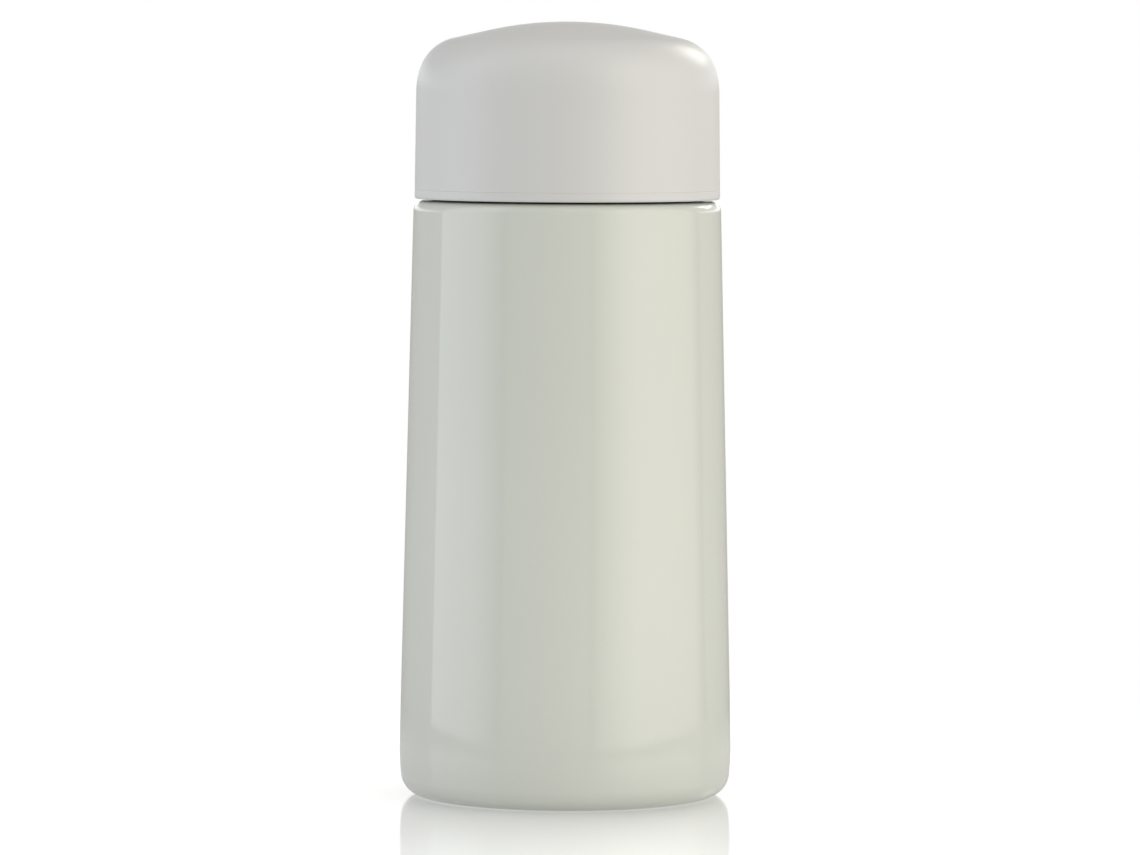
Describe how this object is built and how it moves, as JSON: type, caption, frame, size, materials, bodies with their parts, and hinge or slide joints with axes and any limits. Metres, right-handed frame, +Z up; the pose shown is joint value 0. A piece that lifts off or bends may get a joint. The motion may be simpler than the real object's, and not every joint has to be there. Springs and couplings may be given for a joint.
{
  "type": "vacuum flask",
  "caption": "Double-walled insulated flask with a tapered body, a push-button pouring stopper and a domed screw-on drinking cup over it.",
  "frame": {"origin": "middle of the base, on the surface that the flask stands on", "axes": "+Z up along the flask's axis, from its base to the cup's dome; -Y is the front, the side with the pouring slot"},
  "size_m": [0.074, 0.074, 0.1723],
  "materials": {
    "pearl_paint": "gloss pearl white paint with a faint green cast",
    "brushed_steel": "satin stainless steel",
    "polished_steel": "electropolished stainless steel",
    "spring_steel": "drawn stainless wire and screw stock",
    "copper": "bright copper foil",
    "getter": "pressed powder, matt",
    "seal_glass": "fused sealing glass",
    "base_rubber": "soft matt elastomer",
    "stopper_plastic": "fine matt moulded polypropylene",
    "button_plastic": "satin moulded polypropylene",
    "silicone": "translucent white silicone",
    "cup_plastic": "satin pearl white moulded polypropylene",
    "liner_plastic": "smooth moulded polypropylene"
  },
  "bodies": {
    "bottle": {"outer_shell": "pearl_paint", "outer_base": "brushed_steel", "inner_liner": "polished_steel", "liner_base": "polished_steel", "copper_foil": "copper", "getter_holder": "brushed_steel", "getter_pellet": "getter", "vacuum_seal": "seal_glass", "base_pad": "base_rubber"},
    "stopper_ring": {"stopper_gasket": "silicone"},
    "stopper": {"stopper_body": "stopper_plastic", "stopper_barrel": "stopper_plastic", "button_well": "stopper_plastic", "valve_seat": "stopper_plastic", "seat_o_ring": "silicone", "stem_seal": "silicone", "button_spring": "spring_steel"},
    "valve": {"push_button": "button_plastic", "valve_stem": "stopper_plastic", "valve_plate": "stopper_plastic", "valve_seal": "silicone", "valve_screw": "spring_steel"},
    "cup_ring": {"cup_gasket": "silicone"},
    "cup": {"cup_shell": "cup_plastic", "cup_liner": "liner_plastic"}
  },
  "joints": [
    {"name": "stopper_lift", "type": "slide", "parent": "bottle", "child": "stopper_ring", "axis": [0, 0, 1], "range_m": [0, 0.036]},
    {"name": "stopper_turn", "type": "hinge", "parent": "stopper_ring", "child": "stopper", "pos_m": [0, 0, 0.14], "axis": [0, 0, 1], "range_deg": [0, 1080]},
    {"name": "button_press", "type": "slide", "parent": "stopper", "child": "valve", "axis": [0, 0, 1], "range_m": [-0.004, 0], "stiffness_N_per_m": 700, "springref_m": 0.003, "deforming": ["button_spring"]},
    {"name": "cup_lift", "type": "slide", "parent": "stopper", "child": "cup_ring", "axis": [0, 0, 1], "range_m": [0, 0.036]},
    {"name": "cup_turn", "type": "hinge", "parent": "cup_ring", "child": "cup", "pos_m": [0, 0, 0.14], "axis": [0, 0, 1], "range_deg": [0, 1080]}
  ],
  "couplings": [
    {"joint": "stopper_turn", "follows": "stopper_lift", "rad_per_m": 523.6},
    {"joint": "cup_turn", "follows": "cup_lift", "rad_per_m": 523.6}
  ]
}
